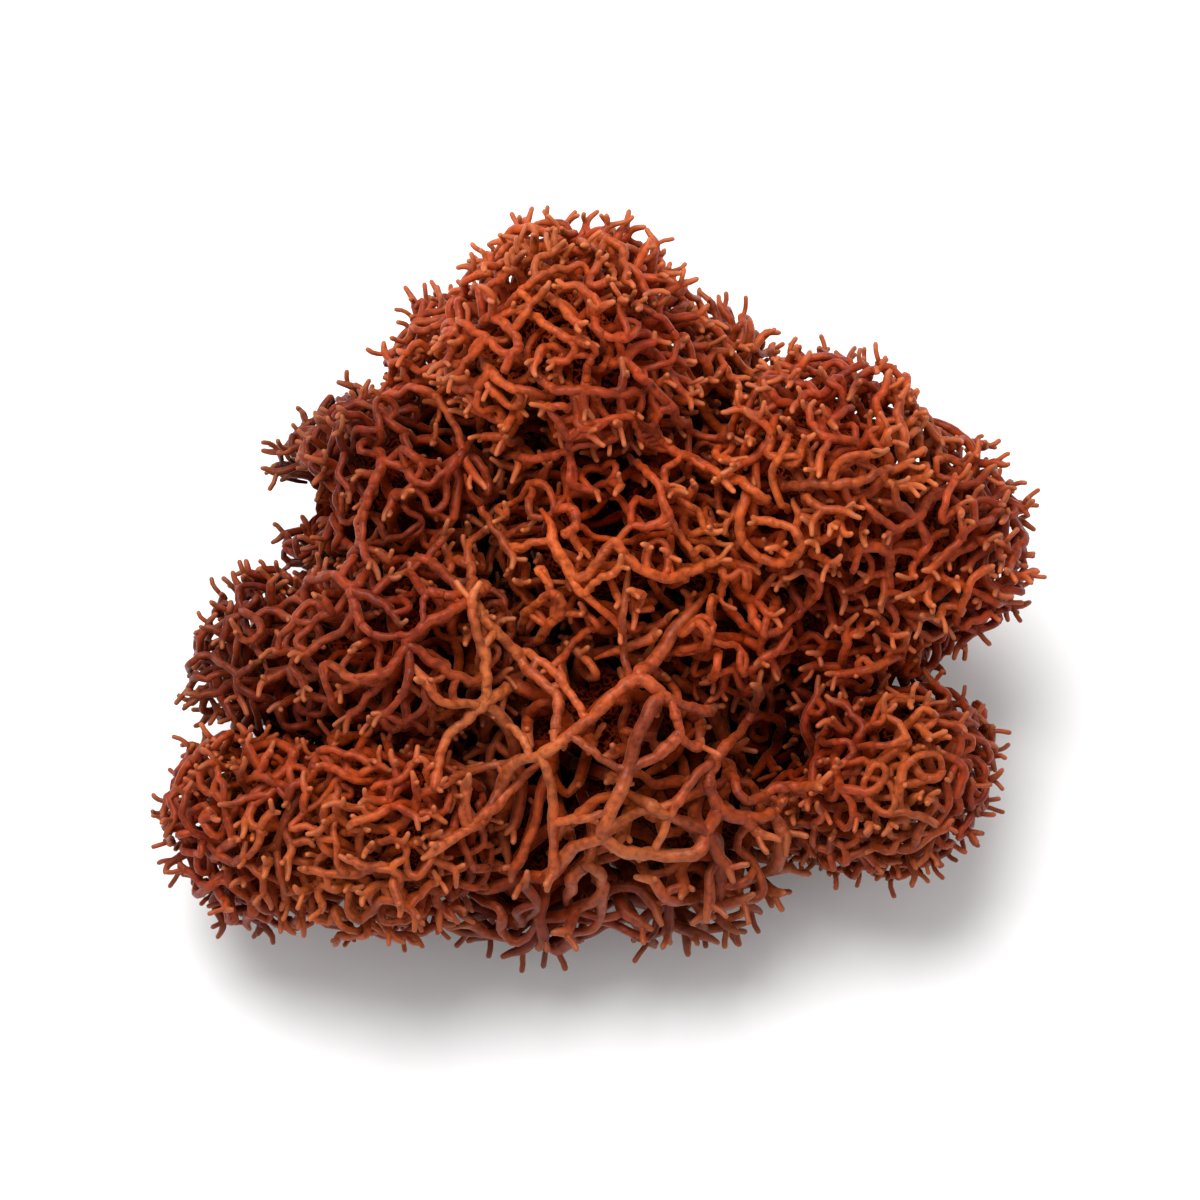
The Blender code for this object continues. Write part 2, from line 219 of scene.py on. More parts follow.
# A head's branchlets grow from SHELL over its sunken surface to DEPTH under it, but not deeper than DEEPEST
# in its form, with ROOM to the next head's and FLOOR_GAP over the floor. Within the berth of a laid stem
# they stay UNDER the surface.
SHELL = 0.9
DEPTH = 3.0
DEEPEST = 7.5
ROOM = 0.28
FLOOR_GAP = 0.7
UNDER = -0.8
CANDIDATES = 60000
WIDENING = 0.10


def clump_corners(box):
    """The lowest and the highest corner of a box of the frame, in the clump's own millimetres."""
    return [np.array(corner) / MM + CENTRE for corner in box]


def scatter(name, index, spacing, berth, laid, rng):
    """Random places for a head's branchlets, each further from the laid stems and from those kept before
    than the spacing, which widens by WIDENING of the depth. With each place go how far it is outside the
    head's sunken surface and outside its form."""
    places = rng.uniform(*clump_corners(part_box(name)), (CANDIDATES, 3))
    depth, outside, room = head_space(places, index)
    good = (outside < SHELL) & (outside > -DEPTH) & (depth > -DEEPEST) & (room > ROOM)
    good &= places[:, 2] > FLOOR_GAP
    for point in np.concatenate([*laid, np.empty((0, 3))]):
        good &= (outside < UNDER) | (np.linalg.norm(places - point, axis=1) > berth)
    places, outside, depth = places[good], outside[good], depth[good]
    apart = spacing + WIDENING * (SHELL - outside)
    kept = np.concatenate([*laid, np.full((len(places), 3), np.inf)])
    last = len(kept) - len(places)
    chosen = []
    for i, place in enumerate(places):
        if np.all(np.sum((kept[:last] - place)**2, axis=1) > apart[i]**2):
            kept[last] = place
            last += 1
            chosen.append(i)
    return places[chosen], outside[chosen], depth[chosen]


# A free end hooks on to a neighbour FREE_HOOKS times as often as other places do. The neighbour lies within
# JOIN_REACH, and JOIN_RISE of the step to it at most goes outwards or inwards.
FREE_HOOKS = 1.6
JOIN_REACH = 2.4
JOIN_RISE = 0.5


def hooks_beside(places, parent, outward, free, share, rng):
    """Pairs of places, of which the first sends a branchlet to the second, its nearest neighbour beside
    it. About this share of the places do."""
    hooked, held = [], []
    for i in np.flatnonzero(rng.random(len(places)) < np.where(free, FREE_HOOKS, 1.0) * share):
        step = places - places[i]
        length = np.linalg.norm(step, axis=1)
        beside = (length > 0) & (length < JOIN_REACH) & (np.abs(step @ outward[i]) < JOIN_RISE * length)
        beside &= (parent != i) & (np.arange(len(places)) != parent[i])
        if beside.any():
            hooked.append(i)
            held.append(np.argmin(np.where(beside, length, np.inf)))
    return hooked, held


# A tip bends outwards by TIP_TURN and forks into short arms. Each arm is the best of its tries, which turn
# by up to ARM_TURN from their even places round the tip, and vary in spread and length between these shares.
# It is kept clear of places within CLEAR_REACH, and ends with ARM_BEND of the tip's own way added to its own.
ARMS = 2
TRIES = 6
TIP_TURN = 0.35
ARM_TURN = 0.9
ARM_SPREAD = math.radians(38)
ARM_SPREADS = (0.5, 1.6)
ARM_LENGTHS = (0.5, 1.3)
ARM_BEND = 0.3
CLEAR_REACH = 4


def forked_tips(places, tips, heading, outward, arm_length, rng):
    """The ends of each tip's arms, and their headings there. A try goes cos(t) ahead + sin(t) (cos(u)
    across + sin(u) side), with t its spread and u its turn, and each arm is the try whose end keeps
    furthest from all other places."""
    ahead = unit(heading[tips] + TIP_TURN * outward[tips])
    across = unit(np.cross(ahead, rng.normal(size=ahead.shape)))
    turn = 2 * math.pi * np.arange(ARMS)[:, None] / ARMS
    turn = turn + rng.uniform(-ARM_TURN, ARM_TURN, (len(tips), ARMS, TRIES))
    side = np.cross(ahead, across)[:, None, None]
    out = np.cos(turn)[..., None] * across[:, None, None] + np.sin(turn)[..., None] * side
    spread = ARM_SPREAD * rng.uniform(*ARM_SPREADS, (*turn.shape, 1))
    arm = np.cos(spread) * ahead[:, None, None] + np.sin(spread) * out
    arm = arm * rng.uniform(*ARM_LENGTHS, (*turn.shape, 1))
    ends = places[tips, None, None] + arm_length * arm
    clear = np.empty(turn.shape)
    for i, tip in enumerate(tips):
        others = places[np.linalg.norm(places - places[tip], axis=1) < CLEAR_REACH]
        others = others[np.any(others != places[tip], axis=1)]
        clear[i] = np.linalg.norm(ends[i][:, :, None] - others, axis=-1).min(axis=-1)
    best = np.argmax(clear, axis=-1)[..., None, None]
    arm, ends = (np.take_along_axis(values, best, axis=2)[:, :, 0] for values in (arm, ends))
    return ends.reshape(-1, 3), unit(arm + ARM_BEND * ahead[:, None]).reshape(-1, 3)


# A place joins one within REACH that has fewer than FORKS branches. Outwards is away from the middle of the
# bunch, taken at LOW_MIDDLE of its height.
JITTER = 0.05
REACH = 4.2
FORKS = 2
LOW_MIDDLE = 0.6


def grown_bunch(places, outside, depth, laid, hooks, habit, rng):
    """The laid stems come first. One that starts within MEET of an earlier one's place grows from that,
    without its own first place, and one that ends so near another ends on it, unless a third grows there.
    Then each place, from about the deepest outwards, joins an earlier place at the least cost, length^power
    (1 + bend_cost (1 - cosine of the bend)). Then some hook on to a neighbour, and the free tips fork.
    Returns the places with their depth, parent, heading and nearness to the tip."""
    order = np.argsort(outside + rng.normal(size=len(outside)) * habit["wander"])
    lines, roots = [], []
    for line in laid:
        line = line + rng.normal(size=line.shape) * JITTER
        gap = np.linalg.norm(np.concatenate([np.full((1, 3), np.inf), *lines]) - line[0], axis=1)
        roots.append(gap.argmin() - 1 if gap.min() < MEET else -1)
        lines.append(line[int(roots[-1] >= 0):])
    first = sum(len(line) for line in lines)
    places = np.concatenate([*lines, places[order]])
    depth = np.concatenate([np.full(first, 0.0), depth[order]])
    parent = np.full(len(places), -1)
    forks = np.zeros(len(places), int)
    outward = unit(places - places.mean(axis=0) * [1, 1, LOW_MIDDLE])
    heading = outward.copy()
    ended, start = [], 0
    for line, root in zip(lines, roots):
        stop = start + len(line)
        gap = np.linalg.norm(places[:first] - places[stop - 1], axis=1)
        gap[start:stop] = np.inf
        if gap.min() < MEET and stop - 1 not in roots:
            places[stop - 1] = places[gap.argmin()]
            ended.append(stop - 1)
        parent[start:stop] = [root, *range(start, stop - 1)]
        heading[start:stop] = unit(np.gradient(places[start:stop], axis=0))
        start = stop
    for i in range(max(first, 1), len(places)):
        step = places[i] - places[:i]
        length = np.linalg.norm(step, axis=1)
        bend = 1 - np.sum(step * heading[:i], axis=1) / length
        near = (length < REACH) & (forks[:i] < FORKS)
        cost = np.where(near, length**habit["length_power"] * (1 + habit["bend_cost"] * bend), np.inf)
        if near.any():
            parent[i] = np.argmin(cost)
            forks[parent[i]] += 1
            heading[i] = unit(step[parent[i]])
    free = ~np.isin(np.arange(len(places)), parent)
    hooked, held = hooks_beside(places, parent, outward, free, hooks, rng)
    tips = np.setdiff1d(np.flatnonzero(free), hooked + ended)
    ends, end_heading = forked_tips(places, tips, heading, outward, habit["arm_length"], rng)
    parent = np.concatenate([parent, hooked, np.repeat(tips, ARMS)]).astype(int)
    heading = np.concatenate([heading, unit(places[held] - places[hooked]), end_heading])
    depth = np.concatenate([depth, depth[hooked], np.repeat(depth[tips], ARMS)])
    places = np.concatenate([places, places[held], ends])
    tip = (np.arange(len(places)) >= len(places) - len(ends)).astype(float)
    return places, depth, parent, heading, tip


# A stem is a tube with SIDES sides and, from one place to the next, RINGS rings. Its first ring is turned
# square to its direction and to that with x, y and z passed round, plus SKEW. Its round end's length and last
# radius are shares of the tip's radius.
SIDES = 6
RINGS = 5
SKEW = (0.11, 0.23, 0.37)
END_LENGTH = 0.75
END_RADIUS = 0.6


def wall_faces(rows, around):
    """Two triangles in each cell of a closed wall, in which point i of row k has the number k around + i."""
    i = np.arange(around)
    j = (i + 1) % around
    low = np.arange(rows - 1)[:, None] * around
    high = low + around
    return np.stack([low + i, low + j, high + j, low + i, high + j, high + i], axis=-1).reshape(-1, 3)


def stem_tubes(paths, radii):
    """Closed round tubes. Ring k of a tube is p_k + r_k (cos a u_k + sin a v_k). u_k is u_(k-1) made square
    to the path's direction there, v_k is square to both, and a fan closes each end."""
    count, rings, _ = paths.shape
    along = unit(np.gradient(paths, axis=1))
    u = np.empty_like(paths)
    last = np.cross(along[:, 0], np.roll(along[:, 0], 1, axis=1) + SKEW)
    for k in range(rings):
        last = unit(last - np.sum(last * along[:, k], axis=-1, keepdims=True) * along[:, k])
        u[:, k] = last
    v = np.cross(along, u)
    turn = 2 * math.pi * np.arange(SIDES) / SIDES
    ring = np.cos(turn)[:, None] * u[:, :, None] + np.sin(turn)[:, None] * v[:, :, None]
    points = (paths[:, :, None] + radii[..., None, None] * ring).reshape(-1, 3)
    fan = np.arange(1, SIDES - 1)
    foot = np.stack([0 * fan, fan + 1, fan], axis=-1)
    head = np.stack([0 * fan, fan, fan + 1], axis=-1) + (rings - 1) * SIDES
    one = np.concatenate([wall_faces(rings, SIDES), foot, head])
    faces = one[None] + (np.arange(count) * rings * SIDES)[:, None, None]
    return points, faces.reshape(-1, 3)


def strung(values, stems):
    """A row for each stem: the values of its stretches end to end, with the ends that they share once, and
    the last one twice, for the round end."""
    along = values[stems][:, :, :-1].reshape(len(stems), stems.shape[1] * (RINGS - 1), -1)
    end = values[stems[:, -1], -1:]
    return np.concatenate([along, end, end], axis=1)


def main_branches(parent, heading):
    """For each place, the number of tips that it carries, the sum of its branches' headings times theirs,
    and the straightest of its branches, or -1 at a tip."""
    carried = np.zeros(len(parent))
    onward = np.zeros((len(parent), 3))
    straight = np.sum(heading * heading[parent], axis=1)
    main = np.full(len(parent), -1)
    for i in range(len(parent) - 1, -1, -1):
        carried[i] = max(carried[i], 1)
        if parent[i] >= 0:
            onward[parent[i]] += heading[i] * carried[i]
            carried[parent[i]] += carried[i]
            if main[parent[i]] < 0 or straight[i] > straight[main[parent[i]]]:
                main[parent[i]] = i
    return carried, onward, main


# A stem that grows from no other starts ROOT before its first place, at ROOT_TAPER of its radius. A stretch
# keeps straight at both ends by HANDLE of its length, and stays EDGE of the thickest radius inside the
# clump's measured reach. A tip's radius is less by TIP_TAPER.
ROOT = 2.5
ROOT_TAPER = 0.35
HANDLE = 0.38
EDGE = 1.15
STEM_POWER = 0.12
TIP_TAPER = 0.3
# A branchlet's tint is made of these shares of the tint it grows from and of its own draw, and its radius
# goes with it, from NARROW up by WIDER.
PARENT_TINT = 0.7
OWN_TINT = 0.3
NARROW = 0.9
WIDER = 0.2


def stem_surfaces(places, depth, parent, heading, tip, habit, rng):
    """The stems of a grown bunch, each one tube from where it forks off to its own round tip, on along the
    straightest branch at each fork. Its radius is the tip radius times the tips carried^STEM_POWER, more at
    a fork, and at most the thickest. From place a to place d it is bowed, where b leaves a and c meets d
    along their headings, both pushed aside by the curl. Near the floor or the clump's measured reach it
    runs flat along it."""
    count = len(places)
    rooted = parent < 0
    carried, onward, main = main_branches(parent, heading)
    tint = rng.random(count)
    for i in np.flatnonzero(~rooted):
        tint[i] = PARENT_TINT * tint[parent[i]] + OWN_TINT * tint[i]
    leaving = unit(heading + onward / np.maximum(np.linalg.norm(onward, axis=1, keepdims=True), 1))
    swelling = 1 + habit["fork_swell"] * (np.bincount(parent[~rooted], minlength=count) > 1)
    radius = np.minimum(habit["tip_radius"] * carried**STEM_POWER * swelling, habit["thickest"])
    radius *= (NARROW + WIDER * tint) * (1 - TIP_TAPER * tip)
    goes_on = ~rooted & (main[parent] == np.arange(count))
    start = np.where(rooted[:, None], places - ROOT * heading, places[parent])
    before = np.where(rooted[:, None], heading, leaving[parent])
    length = np.linalg.norm(places - start, axis=1, keepdims=True)
    aside = unit(rng.normal(size=places.shape)) * length * habit["curl"]
    s = np.linspace(0, 1, RINGS)[:, None]
    a, d = start[:, None], places[:, None]
    b = a + (before * length * HANDLE + aside)[:, None]
    c = d - (leaving * length * HANDLE - aside)[:, None]
    low, high = clump_corners(cad_box)
    edge = EDGE * habit["thickest"]
    path = np.clip(bowed(a, b, c, d, s), low + edge, high - edge)

    def blend(at_start, at_end):
        """A row for each stretch: its value at each ring, at_start (1 - s) + at_end s."""
        return at_start[:, None] * (1 - s[:, 0]) + at_end[:, None] * s[:, 0]

    facts = np.stack([
        blend(np.where(goes_on, radius[parent], radius * np.where(rooted, ROOT_TAPER, 1)), radius),
        blend(np.where(rooted, depth - ROOT, depth[parent]), depth),
        blend(np.where(rooted, tint, tint[parent]), tint),
        blend(np.where(rooted, 0, tip[parent]), tip), np.zeros((count, RINGS))], axis=-1)
    stems = {}
    for i in np.flatnonzero(~goes_on):
        stem = [i]
        while main[stem[-1]] >= 0:
            stem.append(main[stem[-1]])
        stems.setdefault(len(stem), []).append(stem)
    surfaces = []
    for same_length in map(np.array, stems.values()):
        line, fact = strung(path, same_length), strung(facts, same_length)
        radii = fact[..., 0]
        line[:, -1] += unit(line[:, -1] - line[:, -3]) * radii[:, -1:] * END_LENGTH
        radii[:, -1] *= END_RADIUS
        points, faces = stem_tubes(line, radii)
        surfaces.append((points, faces, np.repeat(fact[..., 1:].reshape(-1, 4), SIDES, axis=0)))
    return surfaces


# The core of a crown is a wall with CORE_AROUND points round, in CORE_RINGS rows up its stalk and as many
# over its top. The ray to each is searched up to CORE_REACH in even steps.
CORE_AROUND = 28
CORE_RINGS = 9
CORE_REACH = 12
CORE_STEPS = 60
CORE_ROOM = 2 * ROOM
CORE_FULL = 0.90
CORE_WAVE = 0.10
CORE_WAVES = (5, 9, 7)
CORE_TINT = 0.5


def core_surfaces(index, crowns, core_depth):
    """The tangle inside a head, as one rough form in each crown, darkened as painted shade. Rays go out level
    from its stalk and all ways up from the crown's middle, and end core_depth under the crown's sunken
    surface, or where the room to the next head falls under CORE_ROOM. Of that length each keeps
    CORE_FULL + CORE_WAVE sin(the sum of CORE_WAVES times its start's height and its way right and back)."""
    turn = 2 * math.pi * np.arange(CORE_AROUND) / CORE_AROUND
    level = np.stack([np.cos(turn), np.sin(turn), 0 * turn], axis=1)
    climb = np.arange(CORE_RINGS)[:, None, None] / CORE_RINGS
    rise = climb * math.pi / 2
    way = np.concatenate([level + 0 * climb, level * np.cos(rise) + np.sin(rise) * [0, 0, 1]])
    reach = np.linspace(0, CORE_REACH, CORE_STEPS)
    rows, i = 2 * CORE_RINGS, np.arange(CORE_AROUND)
    j = (i + 1) % CORE_AROUND
    last = (rows - 1) * CORE_AROUND
    roof = np.stack([last + i, last + j, 0 * i + rows * CORE_AROUND], axis=-1)
    base = np.stack([0 * i + rows * CORE_AROUND + 1, j, i], axis=-1)
    faces = np.concatenate([wall_faces(rows, CORE_AROUND), roof, base])
    surfaces = []
    for crown in crowns:
        top = np.array(crown[:3])
        foot = top * [FOOT_PULL, FOOT_PULL, 0]
        start = np.concatenate([foot + (top - foot) * climb + 0 * level, top + 0 * level + 0 * climb])
        along = start[:, :, None] + reach[:, None] * way[:, :, None]
        depth, outside, room = head_space(along, index)
        left = (outside_crown(along, crown) + outside - depth > -core_depth) | (room < CORE_ROOM)
        stop = np.argmax(left, axis=-1)
        ends, shade = reach[stop], np.take_along_axis(depth, stop[..., None], axis=-1).ravel()
        up, right, back = CORE_WAVES
        ends *= CORE_FULL + CORE_WAVE * np.sin(up * start[..., 2] + right * way[..., 0] + back * way[..., 1])
        points = (start + ends[..., None] * way).reshape(-1, 3)
        points = np.concatenate([points, [points[last:].mean(axis=0), foot]])
        # Each point keeps its form's depth there, which sets its painted shadow, and a 1 in the core.
        shades = np.tile([-core_depth, CORE_TINT, 0.0, 1.0], (len(points), 1))
        shades[:len(shade), 0] = shade
        surfaces.append((points, faces, shades))
    return surfaces


def head_surfaces(name, curves, lift, spacing, hooks, berth, core_depth, habit):
    """All surfaces of a head: its stems and branchlets, grown from its own seed, and its core."""
    index = list(CROWNS).index(name)
    rng = np.random.default_rng([SEED, index])
    laid = laid_stems(curves, lift)
    scattered = scatter(name, index, spacing, berth, laid, rng)
    bunch = grown_bunch(*scattered, laid, hooks, habit, rng)
    return stem_surfaces(*bunch, habit, rng) + core_surfaces(index, CROWNS[name], core_depth)


def moss_mesh(name, surfaces):
    """One smooth mesh of several surfaces, each with its points, faces and shades: a depth, a tint, a
    nearness to the tip and a 1 in the core for each point. What would dip into the floor lies flat on it."""
    starts = np.cumsum([0] + [len(points) for points, _, _ in surfaces])
    points = np.concatenate([points for points, _, _ in surfaces])
    faces = np.concatenate([faces + start for (_, faces, _), start in zip(surfaces, starts)])
    shades = np.concatenate([shades for _, _, shades in surfaces])
    points[:, 2] = np.maximum(points[:, 2], 0)
    mesh = bpy.data.meshes.new(name)
    mesh.vertices.add(len(points))
    mesh.vertices.foreach_set("co", ((points - CENTRE) * MM).ravel())
    mesh.loops.add(faces.size)
    mesh.loops.foreach_set("vertex_index", faces.ravel().astype(np.int32))
    mesh.polygons.add(len(faces))
    mesh.polygons.foreach_set("loop_start", np.arange(0, faces.size, 3, dtype=np.int32))
    mesh.update(calc_edges=True)
    mesh.shade_smooth()
    for column, label in enumerate(("depth", "tint", "tip", "core")):
        values = mesh.attributes.new(label, "FLOAT", "POINT").data
        values.foreach_set("value", shades[:, column].astype(np.float32))
    piece = bpy.data.objects.new(name, mesh)
    bpy.context.scene.collection.objects.link(piece)
    return piece


# The lichen's skin is matt, with a faint felt that glows along its edges in the colour of the dye.
ROUGHNESS = 0.45
SHEEN = 0.12
SHEEN_ROUGHNESS = 0.4
SHEEN_TINT = (1.0, 0.5, 0.32, 1)
# The scale and the detail of the dye's patches, of the felt's mottle and of its grain.
PATCHES = (75, 2)
MOTTLE = (1700, 3)
GRAIN = (2200, 4)
GRAIN_STRENGTH = 0.7
GRAIN_HEIGHT = 0.0001
# The stops of each ramp, with colours from 0 to 255. DEEP is the stretch of depths, in millimetres, that
# the painted shadow and the gloss go by, and the stretch of heights, in metres, is where painted shade
# darkens the lichen towards the floor.
DYE_STOPS = (0.32, 0.5, 0.68)
BLACK = (0, 0, 0)
WHITE = (255, 255, 255)
SINGLE = ((0.2, (172, 158, 150)), (0.5, (228, 223, 218)), (0.8, WHITE))
FELT = ((0.34, (196, 184, 176)), (0.58, WHITE))
# Paler tips, partly the lichen's own colour and partly a painted highlight.
PALE_TIP_AND_HIGHLIGHT = (222, 135, 84)
TIP_SHARE_OF_PALE_AND_HIGHLIGHT = ((0.0, BLACK), (1.0, (150, 150, 150)))
DEEP = (-6, 0)
SHADOW = ((0.0, (60, 30, 18)), (0.37, (140, 92, 68)), (0.62, (222, 204, 190)), (1.0, WHITE))
# Painted shade: the lichen darker towards the floor, over these heights.
SHADE_HEIGHTS = (0.004, 0.030)
LOW_PAINTED_SHADE = ((0.0, (170, 150, 140)), (0.5, (220, 210, 205)), (1.0, WHITE))
# On the core, painted shade between the painted strands.
SHADE_BETWEEN_STRANDS = (74, 40, 28)
STRANDS = ((0.42, SHADE_BETWEEN_STRANDS), (0.48, WHITE), (0.52, WHITE), (0.58, SHADE_BETWEEN_STRANDS))
SHINE_STOPS = (0.6, 1.0)


def dyed_lichen_with_painted_light(name, dye_colours, gloss):
    """Rust red with paler and browner patches, a fine mottle, a tint for each branchlet, paler tips that are
    partly a painted highlight, and painted shade with depth and towards the floor. On the core, the levels
    near the middle of the mottle stand out as curled strands, with painted shade between them."""
    material = bpy.data.materials.new(name)
    material.use_nodes = True
    nodes, links = material.node_tree.nodes, material.node_tree.links
    shader = nodes["Principled BSDF"]
    shader.inputs["Roughness"].default_value = ROUGHNESS
    shader.inputs["Sheen Weight"].default_value = SHEEN
    shader.inputs["Sheen Roughness"].default_value = SHEEN_ROUGHNESS
    shader.inputs["Sheen Tint"].default_value = SHEEN_TINT
    coordinates = nodes.new("ShaderNodeTexCoord").outputs["Object"]

    def light(colour):
        """Red, green and blue from 0 to 255 as light, each (c / 255)^2.2."""
        return tuple((c / 255)**2.2 for c in colour) + (1,)

    def attribute(label):
        """The value that the mesh keeps for each point under this label."""
        node = nodes.new("ShaderNodeAttribute")
        node.attribute_name = label
        return node.outputs["Fac"]

    def noise(scale, detail):
        """Noise from 0 to 1 over the piece, this fine, with this many finer layers."""
        node = nodes.new("ShaderNodeTexNoise")
        node.inputs["Scale"].default_value = scale
        node.inputs["Detail"].default_value = detail
        links.new(coordinates, node.inputs["Vector"])
        return node.outputs["Fac"]

    def span(value, low, high):
        """(value - low) / (high - low), kept between 0 and 1."""
        node = nodes.new("ShaderNodeMapRange")
        node.inputs["From Min"].default_value = low
        node.inputs["From Max"].default_value = high
        links.new(value, node.inputs["Value"])
        return node.outputs["Result"]

    def ramp(value, stops):
        """The colour at the value, which passes evenly from each stop to the next."""
        node = nodes.new("ShaderNodeValToRGB")
        links.new(value, node.inputs["Fac"])
        for _ in stops[2:]:
            node.color_ramp.elements.new(0.5)
        for element, (place, colour) in zip(node.color_ramp.elements, stops):
            element.position = place
            element.color = light(colour)
        return node.outputs["Color"]

    def mixed(kind, factor, a, b):
        """The factor's share of b blended into a: b itself, or a times b to multiply."""
        node = nodes.new("ShaderNodeMix")
        node.data_type = "RGBA"
        node.blend_type = kind
        for socket, value in ((node.inputs["Factor"], factor), (node.inputs[6], a), (node.inputs[7], b)):
            if isinstance(value, bpy.types.NodeSocket):
                links.new(value, socket)
            else:
                socket.default_value = value
        return node.outputs[2]

    colour = ramp(noise(*PATCHES), tuple(zip(DYE_STOPS, dye_colours)))
    colour = mixed("MULTIPLY", 1.0, colour, ramp(attribute("tint"), SINGLE))
    mottle = noise(*MOTTLE)
    colour = mixed("MULTIPLY", 1.0, colour, ramp(mottle, FELT))
    # The tips paler, partly in their own colour and partly as a painted highlight.
    colour = mixed("MIX", ramp(attribute("tip"), TIP_SHARE_OF_PALE_AND_HIGHLIGHT), colour, light(PALE_TIP_AND_HIGHLIGHT))
    deep = span(attribute("depth"), *DEEP)
    colour = mixed("MULTIPLY", 1.0, colour, ramp(deep, SHADOW))
    place = nodes.new("ShaderNodeSeparateXYZ")
    links.new(coordinates, place.inputs["Vector"])
    # Painted shade, darker towards the floor.
    colour = mixed("MULTIPLY", 1.0, colour, ramp(span(place.outputs["Z"], *SHADE_HEIGHTS), LOW_PAINTED_SHADE))
    # On the core only: painted shade between the curled strands.
    colour = mixed("MULTIPLY", attribute("core"), colour, ramp(mottle, STRANDS))
    links.new(colour, shader.inputs["Base Color"])
    shine = ramp(deep, tuple(zip(SHINE_STOPS, (BLACK, (gloss, gloss, gloss)))))
    links.new(shine, shader.inputs["Specular IOR Level"])
    relief = nodes.new("ShaderNodeBump")
    relief.inputs["Strength"].default_value = GRAIN_STRENGTH
    relief.inputs["Distance"].default_value = GRAIN_HEIGHT
    links.new(noise(*GRAIN), relief.inputs["Height"])
    links.new(relief.outputs["Normal"], shader.inputs["Normal"])
    return material


def dress_head(name, surfaces, material):
    """Puts a head's surfaces in its node's place."""
    piece = moss_mesh(name + "_moss", surfaces)
    piece.data.materials.append(material)
    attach(piece, "root")
    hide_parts(name)


# How the dense heads grow: how far the order strays from the depth, the power of the length and the weight
# of the bend in the cost of a join, the length of a tip's arm, the radius at a tip and at most, the
# swelling at a fork, and the curl of a stretch as a share of its length.
DENSE_HABIT = {
    "wander": 1.2, "length_power": 1.3, "bend_cost": 1.3, "arm_length": 1.3,
    "tip_radius": 0.28, "thickest": 0.42, "fork_swell": 0.15, "curl": 0.20,
}
DOME_GLOSS = 118
RUST_DYE = ((162, 55, 22), (187, 75, 31), (202, 99, 46))
# The rust dye darkened for head_left_back and head_left, as painted shade.
SHADED_RUST_DYE = ((129, 43, 17), (150, 57, 24), (168, 77, 36))
# For each head, the spacing of its places, the share that hooks on to a neighbour, the berth of its laid
# stems, the depth of its core and its dye. The domes are dense. In the others the branchlets stand further
# apart, and more of them hook on, as a net.
HEADS = {
    "head_back": (1.08, 0.12, 0.9, 2.2, RUST_DYE),
    "head_right": (1.09, 0.15, 0.9, 2.2, RUST_DYE),
    "head_middle": (1.28, 0.3, 1.5, 2.9, RUST_DYE),
    "head_left_back": (1.22, 0.3, 1.5, 2.9, SHADED_RUST_DYE),
    "head_left": (1.26, 0.22, 1.5, 2.9, SHADED_RUST_DYE),
    "head_front_left": (1.15, 0.22, 0.0, 2.4, RUST_DYE),
    "head_front_right": (1.12, 0.2, 0.0, 2.4, RUST_DYE),
}
